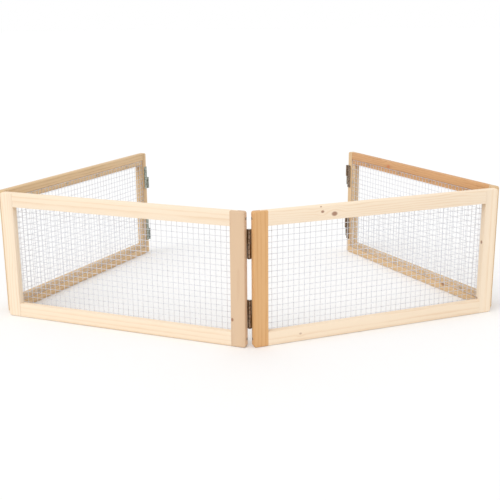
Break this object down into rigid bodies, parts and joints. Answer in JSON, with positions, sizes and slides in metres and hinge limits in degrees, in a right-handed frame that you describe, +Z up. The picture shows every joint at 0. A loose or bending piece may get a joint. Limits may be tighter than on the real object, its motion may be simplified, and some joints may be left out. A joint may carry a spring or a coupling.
{
  "type": "guinea pig run",
  "caption": "Folding run of wooden frames with welded wire mesh, joined end to end by lift-off hinges on the inner faces.",
  "frame": {"origin": "on the ground, under the middle of the run's bounding box", "axes": "+Z up, +X to the right of the picture's front, +Y away from the front corner towards the open back"},
  "size_m": [1.1548, 0.7874, 0.295],
  "materials": {
    "pine": "planed, oiled",
    "galvanised_wire": "galvanised",
    "staple_steel": "galvanised",
    "screw_steel": "zinc plated",
    "hinge_steel": "bronzed zinc"
  },
  "bodies": {
    "back_left_panel": {"back_left_socket_stile": "pine", "back_left_pin_stile": "pine", "back_left_bottom_rail": "pine", "back_left_top_rail": "pine", "back_left_mesh_uprights": "galvanised_wire", "back_left_mesh_crosswires": "galvanised_wire", "back_left_staples": "staple_steel", "back_left_frame_screws": "screw_steel", "back_left_lower_socket_leaf": "hinge_steel", "back_left_upper_socket_leaf": "hinge_steel", "back_left_lower_pin_leaf": "hinge_steel", "back_left_upper_pin_leaf": "hinge_steel", "back_left_hinge_screws": "screw_steel"},
    "front_left_panel": {"front_left_socket_stile": "pine", "front_left_pin_stile": "pine", "front_left_bottom_rail": "pine", "front_left_top_rail": "pine", "front_left_mesh_uprights": "galvanised_wire", "front_left_mesh_crosswires": "galvanised_wire", "front_left_staples": "staple_steel", "front_left_frame_screws": "screw_steel", "front_left_lower_socket_leaf": "hinge_steel", "front_left_upper_socket_leaf": "hinge_steel", "front_left_lower_pin_leaf": "hinge_steel", "front_left_upper_pin_leaf": "hinge_steel", "front_left_hinge_screws": "screw_steel"},
    "front_right_panel": {"front_right_socket_stile": "pine", "front_right_pin_stile": "pine", "front_right_bottom_rail": "pine", "front_right_top_rail": "pine", "front_right_mesh_uprights": "galvanised_wire", "front_right_mesh_crosswires": "galvanised_wire", "front_right_staples": "staple_steel", "front_right_frame_screws": "screw_steel", "front_right_lower_socket_leaf": "hinge_steel", "front_right_upper_socket_leaf": "hinge_steel", "front_right_lower_pin_leaf": "hinge_steel", "front_right_upper_pin_leaf": "hinge_steel", "front_right_hinge_screws": "screw_steel"},
    "back_right_panel": {"back_right_socket_stile": "pine", "back_right_pin_stile": "pine", "back_right_bottom_rail": "pine", "back_right_top_rail": "pine", "back_right_mesh_uprights": "galvanised_wire", "back_right_mesh_crosswires": "galvanised_wire", "back_right_staples": "staple_steel", "back_right_frame_screws": "screw_steel", "back_right_lower_socket_leaf": "hinge_steel", "back_right_upper_socket_leaf": "hinge_steel", "back_right_lower_pin_leaf": "hinge_steel", "back_right_upper_pin_leaf": "hinge_steel", "back_right_hinge_screws": "screw_steel"}
  },
  "joints": [
    {"name": "left_corner_hinge", "type": "hinge", "parent": "front_left_panel", "child": "back_left_panel", "pos_m": [-0.56477, -0.15535, 0.1475], "axis": [0, 0, 1], "range_deg": [-12.5, 119.5]},
    {"name": "centre_hinge", "type": "hinge", "parent": "front_left_panel", "child": "front_right_panel", "pos_m": [0.00014, -0.38016, 0.1475], "axis": [0, 0, 1], "range_deg": [-68.4, 26.6]},
    {"name": "right_corner_hinge", "type": "hinge", "parent": "front_right_panel", "child": "back_right_panel", "pos_m": [0.56505, -0.15535, 0.1475], "axis": [0, 0, 1], "range_deg": [-120.8, 11.2]}
  ]
}
